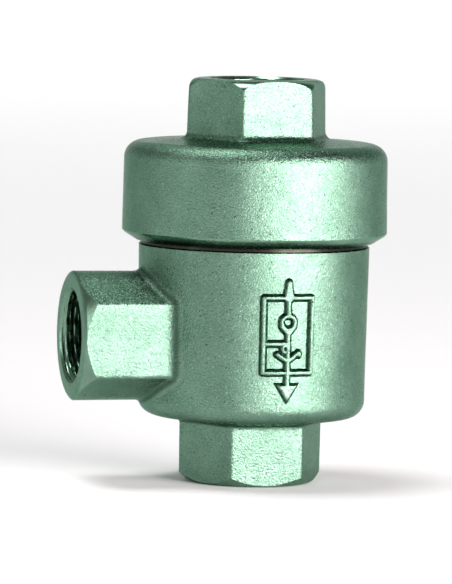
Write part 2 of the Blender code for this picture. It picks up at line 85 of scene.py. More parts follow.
BODY_R_LOW = 24.0 * MM
BODY_R_HIGH = 24.4 * MM
BODY_CORNER_R = 3.5 * MM
BODY_CORNER_Z = 17.4 * MM
BODY_TOP_Z = CAP_FOOT_Z - 0.8 * MM
BODY_FLOOR_Z = 13.0 * MM
FLOOR_RISE = 0.9 * MM  # how much higher the body's underside is at its rim
NECK_R = 23.9 * MM
SPIGOT_R = 22.9 * MM

CAP_SHOULDER_R = 3.6 * MM
CAP_DOME_Z = 72.5 * MM
CAP_DOME_FALL = 0.8 * MM  # how much lower the dome is at its rim
CAP_TAPER = 0.2 * MM

CHAMBER_R = 19.8 * MM
CHAMBER_FLOOR_Z = 18.5 * MM
CAP_BORE_R = 23.2 * MM
PASSAGE_R = 8.5 * MM
INLET_LIP_Z = 65.8 * MM
SEAT_THREAD_R = 10.5 * MM  # the exhaust seat screws into the body's floor here
SEAT_FLANGE_R = 12.6 * MM
SEAT_FLANGE_Z = 16.7 * MM
GROOVE_R = 21.0 * MM  # the O-ring's groove round the spigot
GROOVE_LOW_Z = 58.2 * MM
GROOVE_HIGH_Z = 60.6 * MM
LEAD_IN = 0.4 * MM  # chamfers at the spigot's end and the body's upper edge
CAP_CEILING_Z = 68.0 * MM
CAP_BORE_TOP_Z = 64.0 * MM

# The G1/2 thread of ISO 228-1.
THREAD_MAJOR_R = 20.955 / 2 * MM
THREAD_MINOR_R = 18.631 / 2 * MM
THREAD_PITCH = 25.4 / 14 * MM
THREAD_DEPTH = 12.6 * MM
THREAD_FLAT = 0.14  # share of half a turn that is flat at the crest, and again at the root
MOUTH_R = 10.1 * MM
MOUTH_DEPTH = 0.80 * MM
LINER_R = THREAD_MAJOR_R + 0.15 * MM

SKIN_STEP = 0.36 * MM  # cell size of the distance fields
ROUND_STEPS = 128
OVERCUT = 2.0 * MM  # how far a cutting tool reaches past the face it starts from
CUT_SHARP_ANGLE = math.radians(28)
THREAD_SHARP_ANGLE = math.radians(35)


def add_object(name, data):
    obj = bpy.data.objects.new(name, data)
    bpy.context.scene.collection.objects.link(obj)
    return obj


# --- Distance fields ----------------------------------------------------------------------------
def blend(value, low, high):
    """0 below low, 1 above high, and a smooth rise between them."""
    share = np.clip((value - low) / (high - low), 0, 1)
    return share * share * (3 - 2 * share)


def fillet_union(a, b, radius):
    """Joins two fields, with a hollow fillet of that radius where they meet."""
    corner = np.hypot(np.maximum(radius - a, 0), np.maximum(radius - b, 0))
    return np.maximum(np.minimum(a, b), radius) - corner


def round_overlap(a, b, radius):
    """Keeps what is inside both fields, with its edge rounded to that radius."""
    corner = np.hypot(np.maximum(radius + a, 0), np.maximum(radius + b, 0))
    return np.minimum(np.maximum(a, b), -radius) + corner


def hexagon_field(u, v, flat, edge_r):
    """A hexagon with two corners on the u axis."""
    field = np.abs(v) - flat
    for side in (-1, 1):
        slanted = np.abs(u * math.cos(math.radians(30)) + side * v / 2) - flat
        field = round_overlap(field, slanted, edge_r)
    return field


def barrel_field(radius, height, outer_r, low, high, corner_r):
    """A round barrel between two heights, with rounded rims."""
    return round_overlap(radius - outer_r, np.abs(height - (low + high) / 2) - (high - low) / 2, corner_r)


def waviness(x, y, z, length, seed):
    """Gentle unevenness between -1 and 1, as a forging's faces have."""
    total = 0
    for k in range(4):
        phase = seed + 1.7 * k
        wave = np.array((math.sin(phase * 3.1), math.cos(phase * 2.3), math.sin(phase * 1.9 + 1)))
        wave *= math.tau / length / np.linalg.norm(wave) * (0.8 + 0.25 * k)
        total = total + np.sin(wave[0] * x + wave[1] * y + wave[2] * z + phase)
    return total / 4


def body_field(x, y, z, fillets=1.0):
    """The body's forging: barrel, exhaust hexagon below and outlet hexagon towards -x."""
    radius = np.hypot(x, y)
    draft = (BODY_R_HIGH - BODY_R_LOW) * (z - BODY_CORNER_Z) / (BODY_TOP_Z - BODY_CORNER_Z)
    floor_rise = FLOOR_RISE * blend(radius, 15 * MM, 21 * MM)
    top = SPIGOT_TOP_Z + 3 * MM
    barrel = barrel_field(radius - draft, z - floor_rise, BODY_R_LOW, BODY_FLOOR_Z, top, BODY_CORNER_R)
    exhaust = np.maximum(hexagon_field(x, y, HEX_FLAT, HEX_EDGE_R), np.abs(z - 10 * MM) - 11 * MM)
    across = z - OUTLET_Z
    outlet = hexagon_field(across, y, HEX_FLAT, HEX_EDGE_R)
    outlet = round_overlap(outlet, np.abs(across) - OUTLET_HALF_HEIGHT, OUTLET_EDGE_R)
    outlet = np.maximum(outlet, np.abs(x + 20 * MM) - (OUTLET_REACH - 19 * MM))
    field = fillet_union(barrel, exhaust, EXHAUST_FILLET * fillets)
    field = fillet_union(field, outlet, OUTLET_FILLET * fillets)
    return field + UNEVENNESS * waviness(x, y, z, 17 * MM, 2.0)


def cap_field(x, y, z, fillets=1.0):
    """The cap's forging: a wide barrel with a domed top and the inlet hexagon."""
    radius = np.hypot(x, y)
    taper = -CAP_TAPER * (z - CAP_FOOT_Z) / (CAP_DOME_Z - CAP_FOOT_Z)
    fall = CAP_DOME_FALL * blend(radius, 13 * MM, 26 * MM)
    barrel = barrel_field(radius - taper, z + fall, CAP_R, CAP_FOOT_Z - 6 * MM, CAP_DOME_Z, CAP_SHOULDER_R)
    u = x * math.cos(CAP_TURN) + y * math.sin(CAP_TURN)
    v = y * math.cos(CAP_TURN) - x * math.sin(CAP_TURN)
    flat = HEX_FLAT + (CAP_HEX_FLAT - HEX_FLAT) * (z - CAP_DOME_Z) / (TOP_Z - CAP_DOME_Z)
    middle = (CAP_FOOT_Z + TOP_Z) / 2
    hexagon = np.maximum(hexagon_field(u, v, flat, HEX_EDGE_R), np.abs(z - middle) - (TOP_Z - middle + MM))
    field = fillet_union(barrel, hexagon, INLET_FILLET * fillets)
    return field + UNEVENNESS * waviness(x, y, z, 19 * MM, 5.0)


# The twelve edges of a grid cell, as pairs of its corners, and each corner's place.
CORNERS = np.array([(i & 1, i >> 1 & 1, i >> 2) for i in range(8)])
CELL_EDGES = [(a, b) for a in range(8) for b in range(a + 1, 8) if np.abs(CORNERS[a] - CORNERS[b]).sum() == 1]


def cell_points(values, origin, step):
    """One point in each cell that the surface crosses, and the grid that numbers those cells."""
    shape = tuple(n - 1 for n in values.shape)
    at_corner = [values[i:i + shape[0], j:j + shape[1], k:k + shape[2]] for i, j, k in CORNERS]
    inside_count = sum((corner < 0).astype(np.int8) for corner in at_corner)
    cells = np.argwhere((inside_count > 0) & (inside_count < 8))
    number = np.full(shape, -1, dtype=np.int64)
    number[tuple(cells.T)] = np.arange(len(cells))
    total = np.zeros((len(cells), 3))
    count = np.zeros(len(cells))
    for a, b in CELL_EDGES:
        value_a, value_b = (at_corner[c][tuple(cells.T)] for c in (a, b))
        crossed = (value_a < 0) != (value_b < 0)
        share = value_a[crossed] / (value_a[crossed] - value_b[crossed])
        total[crossed] += CORNERS[a] + share[:, None] * (CORNERS[b] - CORNERS[a])
        count[crossed] += 1
    return origin + (cells + total / count[:, None]) * step, number


def grid_quads(values, number):
    """A quad round each grid edge that crosses the surface, facing outward."""
    inside = values < 0
    quads = []
    for axis in range(3):
        b, c = (axis + 1) % 3, (axis + 2) % 3
        low = np.take(inside, range(inside.shape[axis] - 1), axis)
        high = np.take(inside, range(1, inside.shape[axis]), axis)
        for facing_up in (True, False):
            edges = np.argwhere((low & ~high) if facing_up else (~low & high))
            ring = []
            for step_b, step_c in ((1, 1), (0, 1), (0, 0), (1, 0)):
                cell = edges.copy()
                cell[:, b] -= step_b
                cell[:, c] -= step_c
                ring.append(number[tuple(cell.T)])
            quads.append(np.stack(ring if facing_up else ring[::-1], axis=1))
    return np.concatenate(quads)


def settle(points, field, rounds=4):
    """Moves points along the field's slope until they lie on its surface."""
    reach = 0.02 * MM
    for _ in range(rounds):
        value = field(*points.T)
        slope = np.empty_like(points)
        for axis in range(3):
            offset = np.zeros(3)
            offset[axis] = reach
            slope[:, axis] = (field(*(points + offset).T) - field(*(points - offset).T)) / (2 * reach)
        length = np.maximum((slope ** 2).sum(axis=1), 0.25)
        points = points - slope * (value / length)[:, None]
    return points


def add_painted_shade(data, share):
    """Stores how much painted shade each point gets, for the skin's material."""
    values = data.attributes.new("painted_shade", "FLOAT", "POINT")
    values.data.foreach_set("value", share.ravel())


def solid_from_field(name, field, low, high):
    """A closed mesh object of a field's surface inside a box about the valve's axis."""
    low, high = np.array(low), np.array(high)
    counts = np.ceil((high - low) / SKIN_STEP).astype(int) + 1
    axes = [low[i] + np.arange(counts[i]) * SKIN_STEP for i in range(3)]
    values = field(*np.meshgrid(*axes, indexing="ij"))
    points, number = cell_points(values, low, SKIN_STEP)
    quads = grid_quads(values, number)
    points = settle(points, field)
    depth_in_fillet = field(*points.T, fillets=0.01)
    points = points + np.array((AXIS_X, 0, 0))
    data = bpy.data.meshes.new(name)
    data.from_pydata(points.tolist(), [], quads.tolist())
    # Painted shade: the skin is darkened deep in the fillets, where the forging's shapes meet.
    add_painted_shade(data, 0.75 * blend(depth_in_fillet, 0.03 * MM, 0.40 * MM))
    data.shade_smooth()
    return add_object(name, data)


# --- Turned shapes ------------------------------------------------------------------------------
def arc(center, radius, start, end, steps):
    """Points along an arc between two angles in degrees."""
    angles = np.radians(np.linspace(start, end, steps + 1))
    return [(center[0] + radius * math.cos(a), center[1] + radius * math.sin(a)) for a in angles]


def turned(name, outline, placing):
    """A solid of revolution about the local Z axis from a closed outline of (radius, height) points."""
    mesh = bmesh.new()
    points = [mesh.verts.new((radius, 0, height)) for radius, height in outline]
    edges = [mesh.edges.new(pair) for pair in zip(points, points[1:] + points[:1])
             if max(pair[0].co.x, pair[1].co.x) > 0]
    bmesh.ops.spin(mesh, geom=points + edges, axis=(0, 0, 1), cent=(0, 0, 0), angle=math.tau,
                   steps=ROUND_STEPS)
    bmesh.ops.remove_doubles(mesh, verts=mesh.verts, dist=0.002 * MM)
    bmesh.ops.recalc_face_normals(mesh, faces=mesh.faces)
    mesh.transform(placing)
    data = bpy.data.meshes.new(name)
    mesh.to_mesh(data)
    mesh.free()
    return add_object(name, data)


UPRIGHT = Matrix.Translation((AXIS_X, 0, 0))
INLET_PORT = Matrix.Translation((AXIS_X, 0, TOP_Z))
EXHAUST_PORT = Matrix.Translation((AXIS_X, 0, 0)) @ Matrix.Rotation(math.pi, 4, "X")
OUTLET_PORT = (Matrix.Translation((AXIS_X - OUTLET_REACH, 0, OUTLET_Z))
               @ Matrix.Rotation(-math.pi / 2, 4, "Y"))


def port_tool(name, placing, chamfer, inner):
    """What the lathe takes off a port: its bore, its end face and the corners of its hexagon.

    Heights are measured outward from the end face. The chamfer runs from the face to beyond the
    hexagon's corners, and inner lists the bore's points past the thread.
    """
    far_r = chamfer[-1][0] + 4 * MM
    outline = [
        *inner,
        (PASSAGE_R, -THREAD_DEPTH),
        (LINER_R, -THREAD_DEPTH),
        (LINER_R, 0),
        *chamfer,
        (far_r, chamfer[-1][1]),
        (far_r, OVERCUT),
        (0, OVERCUT),
    ]
    return turned(name, outline, placing)


def cut(target, tool, material):
    """Takes the tool away from the target, whose cut faces get the tool's own material."""
    tool.data.materials.append(material)
    modifier = target.modifiers.new(tool.name, "BOOLEAN")
    modifier.operation = "DIFFERENCE"
    modifier.object = tool
    modifier.solver = "EXACT"
    modifier.material_mode = "TRANSFER"
    return tool


def bake_cuts(target, tools):
    """Applies the target's cuts, removes their tools and keeps machined edges crisp."""
    graph = bpy.context.evaluated_depsgraph_get()
    data = bpy.data.meshes.new_from_object(target.evaluated_get(graph), depsgraph=graph)
    target.modifiers.clear()
    target.data = data
    data.shade_smooth()
    data.set_sharp_from_angle(angle=CUT_SHARP_ANGLE)
    for tool in tools:
        bpy.data.objects.remove(tool)


# --- Materials ----------------------------------------------------------------------------------
class Nodes:
    """Short names for the shader nodes that the materials below use."""

    def __init__(self, name):
        self.material = bpy.data.materials.new(name)
        self.material.use_nodes = True
        self.tree = self.material.node_tree
        self.shader = self.tree.nodes["Principled BSDF"]
        coordinates = self.tree.nodes.new("ShaderNodeTexCoord")
        self.place = coordinates.outputs["Object"]

    def put(self, value, socket):
        if isinstance(value, bpy.types.NodeSocket):
            self.tree.links.new(value, socket)
        else:
            socket.default_value = value

    def noise(self, scale, detail=3.0, roughness=0.55, place=None):
        node = self.tree.nodes.new("ShaderNodeTexNoise")
        self.put(place or self.place, node.inputs["Vector"])
        node.inputs["Scale"].default_value = scale
        node.inputs["Detail"].default_value = detail
        node.inputs["Roughness"].default_value = roughness
        return node.outputs["Fac"]

    def math(self, operation, first, second):
        node = self.tree.nodes.new("ShaderNodeMath")
        node.operation = operation
        self.put(first, node.inputs[0])
        self.put(second, node.inputs[1])
        return node.outputs["Value"]

    def height(self):
        node = self.tree.nodes.new("ShaderNodeSeparateXYZ")
        self.put(self.place, node.inputs["Vector"])
        return node.outputs["Z"]

    def attribute(self, name):
        node = self.tree.nodes.new("ShaderNodeAttribute")
        node.attribute_name = name
        return node.outputs["Fac"]

    def stretched(self, factors):
        node = self.tree.nodes.new("ShaderNodeVectorMath")
        node.operation = "MULTIPLY"
        self.put(self.place, node.inputs[0])
        node.inputs[1].default_value = factors
        return node.outputs["Vector"]

    def spread(self, value, low, high, out_low=0.0, out_high=1.0):
        node = self.tree.nodes.new("ShaderNodeMapRange")
        self.put(value, node.inputs["Value"])
        node.inputs["From Min"].default_value = low
        node.inputs["From Max"].default_value = high
        node.inputs["To Min"].default_value = out_low
        node.inputs["To Max"].default_value = out_high
        return node.outputs["Result"]

    def mixed(self, share, first, second):
        node = self.tree.nodes.new("ShaderNodeMix")
        node.data_type = "RGBA"
        self.put(share, node.inputs["Factor"])
        colors = [socket for socket in node.inputs if socket.type == "RGBA"]
        for value, socket in zip((first, second), colors):
            self.put(value if isinstance(value, bpy.types.NodeSocket) else (*value, 1), socket)
        return next(socket for socket in node.outputs if socket.type == "RGBA")

    def bump(self, height, distance, strength=1.0, under=None):
        node = self.tree.nodes.new("ShaderNodeBump")
        self.put(height, node.inputs["Height"])
        node.inputs["Distance"].default_value = distance
        node.inputs["Strength"].default_value = strength
        if under is not None:
            self.put(under, node.inputs["Normal"])
        return node.outputs["Normal"]

    def finish(self, **inputs):
        for name, value in inputs.items():
            self.put(value, self.shader.inputs[name.replace("_", " ")])
        return self.material


EDGE_TINT = (0.50, 0.62, 0.55, 1.0)  # tarnish keeps the plating from turning white at its edges


def forged_nickel():
    """Shot-blasted forging under nickel: a fine sparkle of dents, small pits, and painted shade in the
    fillets and at the feet of the relief's lines.
    """
    nodes = Nodes("forged_nickel")
    tone = nodes.spread(nodes.noise(140, 4.0, 0.6), 0.32, 0.68)
    speck = nodes.spread(nodes.noise(2900, 2.0, 0.5), 0.60, 0.72)
    pits = nodes.spread(nodes.noise(2300, 2.0, 0.5), 0.345, 0.295)
    color = nodes.mixed(tone, (0.115, 0.222, 0.154), (0.157, 0.276, 0.202))
    color = nodes.mixed(speck, color, (0.26, 0.40, 0.32))
    color = nodes.mixed(pits, color, (0.030, 0.055, 0.038))
    # Painted shade: a dark colour mixed in by the mesh's shade attribute, in the fillets and at the feet of
    # the relief's lines.
    color = nodes.mixed(nodes.attribute("painted_shade"), color, (0.030, 0.065, 0.042))
    grain = nodes.bump(nodes.noise(2700, 3.0, 0.6), 0.00018, 1.0)
    relief = nodes.bump(nodes.noise(520, 3.0, 0.55), 0.00005, 0.8, grain)
    roughness = nodes.spread(nodes.noise(1000, 3.0, 0.6), 0.3, 0.7, 0.17, 0.30)
    return nodes.finish(Base_Color=color, Metallic=1.0, Roughness=roughness, Normal=relief,
                        Specular_Tint=EDGE_TINT)


def turned_nickel():
    """Machined and plated: smoother than the forging, with faint tool marks and painted shade at the joint
    between cap and body.
    """
    nodes = Nodes("turned_nickel")
    marks = nodes.noise(4200, 2.0, 0.5, nodes.stretched((0.25, 0.25, 1.0)))
    tone = nodes.spread(nodes.noise(160, 3.0, 0.6), 0.3, 0.7)
    color = nodes.mixed(tone, (0.13, 0.23, 0.165), (0.19, 0.32, 0.235))
    height = nodes.height()
    # Painted shade: a near-black band on the neck and on the cap's lower chamfer, where cap and body meet.
    joint_shade = nodes.math("MULTIPLY", nodes.spread(height, BODY_TOP_Z - 0.6 * MM, BODY_TOP_Z - 0.1 * MM),
                       nodes.spread(height, CAP_FOOT_Z + 1.2 * MM, CAP_FOOT_Z + 0.5 * MM))
    color = nodes.mixed(joint_shade, color, (0.030, 0.034, 0.026))
    roughness = nodes.spread(nodes.noise(700, 2.0, 0.5), 0.3, 0.7, 0.20, 0.30)
    relief = nodes.bump(marks, 0.00002, 0.5)
    return nodes.finish(Base_Color=color, Metallic=1.0, Roughness=roughness, Normal=relief,
                        Specular_Tint=EDGE_TINT)


def turned_metal(name, dark, light, low, high):
    """A turned inner piece, with fine rings from the tool and slightly uneven gloss."""
    nodes = Nodes(name)
    rings = nodes.noise(3500, 2.0, 0.5, nodes.stretched((0.1, 0.1, 1.0)))
    tone = nodes.spread(nodes.noise(300, 3.0, 0.6), 0.3, 0.7)
    color = nodes.mixed(tone, dark, light)
    roughness = nodes.spread(nodes.noise(900, 2.0, 0.5), 0.3, 0.7, low, high)
    return nodes.finish(Base_Color=color, Metallic=1.0, Roughness=roughness,
                        Normal=nodes.bump(rings, 0.00002, 0.5))


def nitrile_rubber():
    """Moulded black rubber with a faint bloom."""
    nodes = Nodes("nitrile_rubber")
    bloom = nodes.spread(nodes.noise(420, 4.0, 0.65), 0.35, 0.7)
    color = nodes.mixed(bloom, (0.012, 0.012, 0.013), (0.040, 0.040, 0.042))
    roughness = nodes.spread(nodes.noise(1500, 2.0, 0.5), 0.3, 0.7, 0.48, 0.66)
    return nodes.finish(Base_Color=color, Roughness=roughness,
                        Normal=nodes.bump(nodes.noise(3000, 3.0, 0.6), 0.00003, 0.5))


def acetal():
    """Off-white moulded acetal, slightly waxy, with a fine moulding grain."""
    nodes = Nodes("acetal")
    tone = nodes.spread(nodes.noise(260, 3.0, 0.5), 0.3, 0.7)
    color = nodes.mixed(tone, (0.76, 0.75, 0.70), (0.86, 0.85, 0.80))
    roughness = nodes.spread(nodes.noise(1200, 2.0, 0.5), 0.3, 0.7, 0.36, 0.50)
    return nodes.finish(Base_Color=color, Roughness=roughness,
                        Normal=nodes.bump(nodes.noise(3600, 2.0, 0.5), 0.00002, 0.5))


# --- Pieces -------------------------------------------------------------------------------------
def exhaust_chamfer():
    """A broad turned face whose corners slope away steeply."""
    face_r, slope = 13.1 * MM, math.tan(math.radians(38))
    return [(face_r, 0), (face_r + 0.3 * MM, -0.12 * MM), (17 * MM, -(17 * MM - face_r) * slope)]


def outlet_chamfer():
    """A face with a soft rim, and corners cut back far behind it."""
    face_r, round_r = 12.3 * MM, 1.8 * MM
    return [*arc((face_r, -round_r), round_r, 90, 42, 8), (17.5 * MM, -4.6 * MM)]


def inlet_chamfer():
    """Corners rounded over in one large arc."""
    round_r, corner_r = 3.4 * MM, 15.5 * MM
    return [*arc((corner_r - round_r, -round_r), round_r, 90, 8, 12), (corner_r + 0.5 * MM, -8 * MM)]


def make_body(skin, machined):
    """The lower forging, with its spigot, chamber and two ports turned."""
    body = solid_from_field("body_forging", body_field, (-43 * MM, -27 * MM, -2.5 * MM),
                            (27 * MM, 27 * MM, SPIGOT_TOP_Z + 4.5 * MM))
    body.data.materials.append(skin)
    exhaust_bore = [
        (0, -SEAT_FLANGE_Z - OVERCUT),
        (SEAT_THREAD_R, -SEAT_FLANGE_Z - OVERCUT),
        (SEAT_THREAD_R, -THREAD_DEPTH),
    ]
    outlet_bore = [(0, -25 * MM), (PASSAGE_R, -25 * MM)]
    floor_fillet = 1.5 * MM
    chamber = [
        (0, SEAT_FLANGE_Z),
        (SEAT_FLANGE_R, SEAT_FLANGE_Z),
        (SEAT_FLANGE_R, CHAMBER_FLOOR_Z),
        *arc((CHAMBER_R - floor_fillet, CHAMBER_FLOOR_Z + floor_fillet), floor_fillet, -90, 0, 5),
        (CHAMBER_R, SPIGOT_TOP_Z + 6 * MM),
        (0, SPIGOT_TOP_Z + 6 * MM),
    ]
    far_r = 30 * MM
    neck_top = CAP_FOOT_Z - 0.3 * MM
    spigot = [
        (NECK_R, BODY_TOP_Z),
        (BODY_R_HIGH - 0.25 * MM, BODY_TOP_Z),
        (BODY_R_HIGH + 0.15 * MM, BODY_TOP_Z - LEAD_IN),
        (far_r, BODY_TOP_Z - LEAD_IN),
        (far_r, SPIGOT_TOP_Z + 6 * MM),
        (0, SPIGOT_TOP_Z + 6 * MM),
        (0, SPIGOT_TOP_Z),
        (SPIGOT_R - LEAD_IN, SPIGOT_TOP_Z),
        (SPIGOT_R, SPIGOT_TOP_Z - LEAD_IN),
        (SPIGOT_R, GROOVE_HIGH_Z),
        (GROOVE_R, GROOVE_HIGH_Z),
        (GROOVE_R, GROOVE_LOW_Z),
        (SPIGOT_R, GROOVE_LOW_Z),
        (SPIGOT_R, neck_top),
        (NECK_R, neck_top),
    ]
    tools = [
        cut(body, turned("spigot_tool", spigot, UPRIGHT), machined),
        cut(body, turned("chamber_tool", chamber, UPRIGHT), machined),
        cut(body, port_tool("exhaust_tool", EXHAUST_PORT, exhaust_chamfer(), exhaust_bore), machined),
        cut(body, port_tool("outlet_tool", OUTLET_PORT, outlet_chamfer(), outlet_bore), machined),
    ]
    bake_cuts(body, tools)
    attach(body, "housing")
    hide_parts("body")


def make_cap(skin, machined):
    """The upper forging, with its cavity, inlet seat and port turned."""
    cap = solid_from_field("cap_forging", cap_field, (-30 * MM, -30 * MM, CAP_FOOT_Z - 8 * MM),
                           (30 * MM, 30 * MM, TOP_Z + 2.5 * MM))
    cap.data.materials.append(skin)
    far_r, below_z = 33 * MM, CAP_FOOT_Z - 10 * MM
    cavity = [
        (0, below_z),
        (far_r, below_z),
        (far_r, 53.4 * MM),
        (CAP_R + 0.25 * MM, 53.4 * MM),
        (CAP_R - 0.10 * MM, 52.75 * MM),
        (CAP_R - 0.45 * MM, 52.35 * MM),
        (25.2 * MM, CAP_FOOT_Z),
        (CAP_BORE_R, CAP_FOOT_Z),
        (CAP_BORE_R, CAP_BORE_TOP_Z),
        (21.5 * MM, CAP_CEILING_Z),
        (11.5 * MM, CAP_CEILING_Z),
        (9.9 * MM, INLET_LIP_Z),
        (PASSAGE_R - OVERCUT, INLET_LIP_Z),
        (PASSAGE_R - OVERCUT, INLET_LIP_Z - OVERCUT),
        (0, INLET_LIP_Z - OVERCUT),
    ]
    bore_end = INLET_LIP_Z - TOP_Z - OVERCUT
    bore = [(0, bore_end), (PASSAGE_R, bore_end)]
    tools = [
        cut(cap, turned("cavity_tool", cavity, UPRIGHT), machined),
        cut(cap, port_tool("inlet_tool", INLET_PORT, inlet_chamfer(), bore), machined),
    ]
    bake_cuts(cap, tools)
    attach(cap, "housing")
    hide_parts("cap")


def thread_radius(turn, height):
    """Radius of the female thread's wall, and of its countersink, at a height below the end face."""
    share = (height / THREAD_PITCH + turn) % 1.0
    ramp = abs(share - 0.5) * 2
    profile = min(max((ramp - THREAD_FLAT) / (1 - 2 * THREAD_FLAT), 0), 1)
    fade = min(1.0, max(0.0, min((THREAD_DEPTH + height) / 1.2, -height) / THREAD_PITCH))
    radius = THREAD_MINOR_R + (THREAD_MAJOR_R - THREAD_MINOR_R) * profile * fade
    return max(radius, MOUTH_R + height * (MOUTH_R - THREAD_MINOR_R) / MOUTH_DEPTH)


def make_thread(name, placing, material):
    """A sleeve whose inner wall is the right-handed helical thread, from the mouth inward."""
    around, rings_per_pitch = 112, 14
    count = round(THREAD_DEPTH / THREAD_PITCH * rings_per_pitch)
    heights = [-THREAD_DEPTH * i / count for i in range(count + 1)]
    outer = LINER_R - 0.02 * MM
    points = []
    for height in heights:
        for i in range(around):
            radius = thread_radius(i / around, height)
            points.append((radius, i / around, height))
    points += [(outer, i / around, height) for height in (heights[-1], 0) for i in range(around)]
    loops = len(heights) + 2
    data = bpy.data.meshes.new(name)
    places = [placing @ Vector((r * math.cos(math.tau * t), r * math.sin(math.tau * t), h))
              for r, t, h in points]
    faces = []
    for loop in range(loops):
        after = (loop + 1) % loops
        for i in range(around):
            j = (i + 1) % around
            faces.append((loop * around + i, after * around + i, after * around + j, loop * around + j))
    data.from_pydata(places, [], faces)
    data.shade_smooth()
    data.set_sharp_from_angle(angle=THREAD_SHARP_ANGLE)
    data.materials.append(material)
    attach(add_object(name, data), "housing")


# --- Raised flow diagram ------------------------------------------------------------------------
DIAGRAM_TURN = math.radians(2.3)
DIAGRAM_Z = 32.9 * MM
DIAGRAM_HALF_WIDTH = 5.1 * MM
DIAGRAM_HALF_HEIGHT = 7.8 * MM
LINE_HALF_WIDTH = 0.26 * MM
LINE_HEIGHT = 1.0 * MM
LINE_SLOPE = 0.75 * MM  # width of the drafted, filleted side of a line
DIAGRAM_CELL = 0.09 * MM
SHEET_DEPTH = 0.06 * MM  # how far the sheet runs under the skin between its lines
SHEET_LOW = -14.4 * MM  # the sheet's lower and upper ends, from the frame's middle
SHEET_HIGH = 12.6 * MM
SHEET_MARGIN = 1.4 * MM

# The lines in mm, across and up from the frame's middle: the flow path with its branch, then two seats.
FLOW_LINES = (
    ((0, 4.0), (0, 10.9)), ((0, 0.5), (0, -10.8)), ((-5.1, -1.75), (0, -1.75)),
    ((0, 0.3), (-1.3, 1.9)), ((0, 0.3), (1.3, 1.9)),
    ((0, -5.4), (-2.15, -4.0)), ((0, -5.4), (2.3, -3.6)), ((2.3, -3.6), (2.5, -4.1)),
)
ARROW_TOP = -10.5 * MM
ARROW_TIP = -13.4 * MM
ARROW_HALF_WIDTH = 1.8 * MM
SUPPLY_RISE = 3.2 * MM  # the supply line tapers upward from the frame's top
SUPPLY_FOOT_HALF = 0.8 * MM
SUPPLY_END_HALF = 0.32 * MM
# Each check ball's centre and middle radius in mm.
FLOW_BALLS = (((0, 2.7), 1.38), ((-0.5, -2.75), 0.66))


def line_distance(u, v, start, end, start_half=LINE_HALF_WIDTH, end_half=LINE_HALF_WIDTH):
    """Distance outside a line with round ends, whose half width may change along it."""
    along = np.array(end) - np.array(start)
    share = np.clip(((u - start[0]) * along[0] + (v - start[1]) * along[1]) / (along @ along), 0, 1)
    from_middle = np.hypot(u - start[0] - share * along[0], v - start[1] - share * along[1])
    return from_middle - start_half - (end_half - start_half) * share


def triangle_distance(u, v, base_y, tip_y, half_width):
    """Distance outside a triangle that stands on a level base."""
    length = abs(tip_y - base_y)
    inward = (v - base_y) * math.copysign(1, tip_y - base_y)
    side = (np.abs(u) * length - (length - inward) * half_width) / math.hypot(length, half_width)
    return np.maximum(side, -inward)


def diagram_distance(u, v):
    """Distance outside the flat tops of the relief, over the unrolled front of the body."""
    w, h = DIAGRAM_HALF_WIDTH, DIAGRAM_HALF_HEIGHT
    lines = [((-w, -h), (w, -h)), ((-w, h), (w, h)), ((-w, -h), (-w, h)), ((w, -h), (w, h))]
    lines += [(np.array(start) * MM, np.array(end) * MM) for start, end in FLOW_LINES]
    gap = np.full_like(u, 1.0)
    for start, end in lines:
        gap = np.minimum(gap, line_distance(u, v, start, end))
    for (x, y), radius in FLOW_BALLS:
        ring = np.abs(np.hypot(u - x * MM, v - y * MM) - radius * MM)
        gap = np.minimum(gap, ring - 0.8 * LINE_HALF_WIDTH)
    arrow = triangle_distance(u, v, ARROW_TOP, ARROW_TIP, ARROW_HALF_WIDTH)
    supply = line_distance(u, v, (0, h), (0, h + SUPPLY_RISE), SUPPLY_FOOT_HALF, SUPPLY_END_HALF)
    gap = np.minimum(gap, np.minimum(arrow, supply))
    return gap + UNEVENNESS * waviness(u, v, 0 * u, 1.9 * MM, 3.0)


def make_diagram(skin):
    """The relief as a fine sheet over the body's skin, sunk into the skin between its lines."""
    half_width = DIAGRAM_HALF_WIDTH + SHEET_MARGIN
    low, high = DIAGRAM_Z + SHEET_LOW, DIAGRAM_Z + SHEET_HIGH
    across = np.linspace(-half_width, half_width, round(2 * half_width / DIAGRAM_CELL))
    upward = np.linspace(low, high, round((high - low) / DIAGRAM_CELL))
    u, z = np.meshgrid(across, upward)
    shape = u.shape
    angle = u / BODY_R_LOW + DIAGRAM_TURN - math.pi / 2
    gap = diagram_distance(u, z - DIAGRAM_Z)
    rise = LINE_HEIGHT * (1 - blend(gap, -0.10 * MM, LINE_SLOPE)) - SHEET_DEPTH
    # Painted shade: a dark band along the foot of each line's sloping side.
    painted_shade = blend(gap, 0.10 * MM, 0.32 * MM) * (1 - blend(gap, 0.60 * MM, 0.85 * MM))
    radius = np.full(shape, BODY_R_HIGH)
    for _ in range(4):
        radius = radius - body_field(radius * np.cos(angle), radius * np.sin(angle), z)
    radius = radius + rise
    points = np.stack((AXIS_X + radius * np.cos(angle), radius * np.sin(angle), z), axis=-1)
    number = np.arange(shape[0] * shape[1]).reshape(shape)
    quads = np.stack((number[:-1, :-1], number[:-1, 1:], number[1:, 1:], number[1:, :-1]), axis=-1)
    near = gap < LINE_SLOPE + 2 * DIAGRAM_CELL
    data = bpy.data.meshes.new("flow_diagram")
    data.from_pydata(points.reshape(-1, 3).tolist(), [], quads[near[:-1, :-1] | near[1:, 1:]].tolist())
    add_painted_shade(data, 0.8 * painted_shade)
    mesh = bmesh.new()
    mesh.from_mesh(data)
    bmesh.ops.delete(mesh, geom=[v for v in mesh.verts if not v.link_faces], context="VERTS")
    mesh.to_mesh(data)
    mesh.free()
    data.shade_smooth()
    data.materials.append(skin)
    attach(add_object("flow_diagram", data), "housing")


